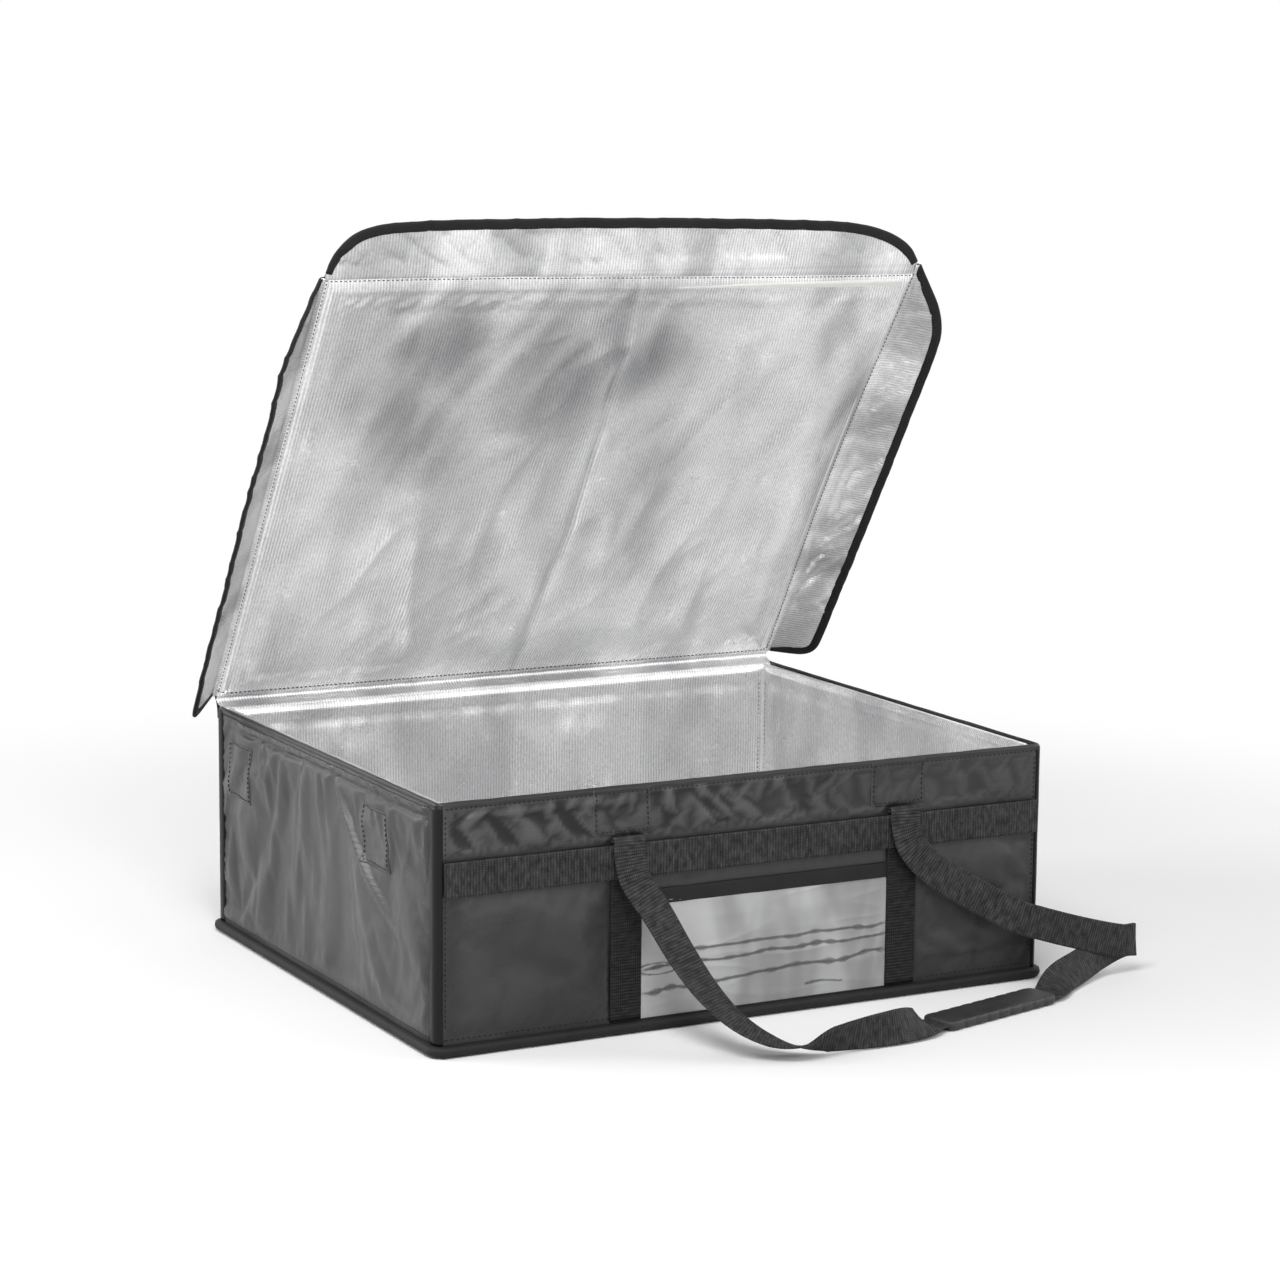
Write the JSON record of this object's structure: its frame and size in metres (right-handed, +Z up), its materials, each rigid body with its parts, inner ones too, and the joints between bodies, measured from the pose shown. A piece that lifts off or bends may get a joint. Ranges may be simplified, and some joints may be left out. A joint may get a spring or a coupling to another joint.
{
  "type": "insulated food delivery bag",
  "caption": "Low, wide insulated carrier with foil-lined foam walls, a hinged lid with bound flaps, webbing carry handles and a clear pocket on its front.",
  "frame": {"origin": "centre of the base's underside, on the surface the bag stands on", "axes": "+X along the bag's width to the right of someone facing its front, +Y from the front to the back where the lid is hinged, +Z up"},
  "size_m": [0.6092, 0.6594, 0.5695],
  "materials": {
    "coated_fabric": "satin charcoal coated weave",
    "foam_core": "closed-cell foam",
    "foil_lining": "bright woven foil laminate with creases",
    "webbing_black": "black cross-ribbed webbing",
    "binding_tape": "matte black woven tape",
    "clear_sheet": "clear flexible sheet",
    "grip_rubber": "dull black",
    "stiff_board": "light stiffening board"
  },
  "bodies": {
    "box": {"base_cover": "coated_fabric", "base_board": "stiff_board", "base_binding": "binding_tape", "base_lining": "foil_lining", "front_wall_cover": "coated_fabric", "front_wall_foam": "foam_core", "front_wall_lining": "foil_lining", "back_wall_cover": "coated_fabric", "back_wall_foam": "foam_core", "back_wall_lining": "foil_lining", "left_wall_cover": "coated_fabric", "left_wall_foam": "foam_core", "left_wall_lining": "foil_lining", "right_wall_cover": "coated_fabric", "right_wall_foam": "foam_core", "right_wall_lining": "foil_lining", "corner_seam_front_left": "coated_fabric", "corner_seam_front_right": "coated_fabric", "corner_seam_back_left": "coated_fabric", "corner_seam_back_right": "coated_fabric", "front_band": "webbing_black", "front_left_strip": "webbing_black", "front_right_strip": "webbing_black", "back_band": "webbing_black", "back_left_strip": "webbing_black", "back_right_strip": "webbing_black", "window_pane": "clear_sheet", "window_binding": "binding_tape", "front_left_patch": "coated_fabric", "front_right_patch": "coated_fabric", "left_front_patch": "coated_fabric", "left_back_patch": "coated_fabric", "right_front_patch": "coated_fabric", "right_back_patch": "coated_fabric", "lid_hinge_seam": "coated_fabric"},
    "lid": {"lid_cover": "coated_fabric", "lid_foam": "foam_core", "lid_lining": "foil_lining", "lid_seam_front": "binding_tape", "lid_seam_left": "binding_tape", "lid_seam_right": "binding_tape"},
    "front_flap": {"front_flap_cover": "coated_fabric", "front_flap_lining": "foil_lining", "front_flap_binding": "binding_tape"},
    "left_flap": {"left_flap_cover": "coated_fabric", "left_flap_lining": "foil_lining", "left_flap_binding": "binding_tape"},
    "right_flap": {"right_flap_cover": "coated_fabric", "right_flap_lining": "foil_lining", "right_flap_binding": "binding_tape"},
    "front_handle": {"front_handle_strap": "webbing_black", "front_handle_grip": "grip_rubber"},
    "back_handle": {"back_handle_strap": "webbing_black", "back_handle_grip": "grip_rubber"}
  },
  "joints": [
    {"name": "lid_hinge", "type": "hinge", "parent": "box", "child": "lid", "pos_m": [0, 0.205, 0.1818], "axis": [-1, 0, 0], "range_deg": [-56.5, 63.5]},
    {"name": "front_flap_fold", "type": "hinge", "parent": "lid", "child": "front_flap", "pos_m": [0, -0.01718, 0.53043], "axis": [1, 0, 0], "range_deg": [-31, 104]},
    {"name": "left_flap_fold", "type": "hinge", "parent": "lid", "child": "left_flap", "pos_m": [-0.25335, -0.01627, 0.52906], "axis": [0, -0.5519, 0.8339], "range_deg": [-93, 42]},
    {"name": "right_flap_fold", "type": "hinge", "parent": "lid", "child": "right_flap", "pos_m": [0.25335, -0.01627, 0.52906], "axis": [0, 0.5519, -0.8339], "range_deg": [-63, 72]},
    {"name": "front_handle_swing", "type": "hinge", "parent": "box", "child": "front_handle", "pos_m": [0, -0.2082, 0.1417], "axis": [-1, 0, 0], "range_deg": [0, 95]},
    {"name": "back_handle_swing", "type": "hinge", "parent": "box", "child": "back_handle", "pos_m": [0, 0.2082, 0.1417], "axis": [1, 0, 0], "range_deg": [0, 95]}
  ]
}
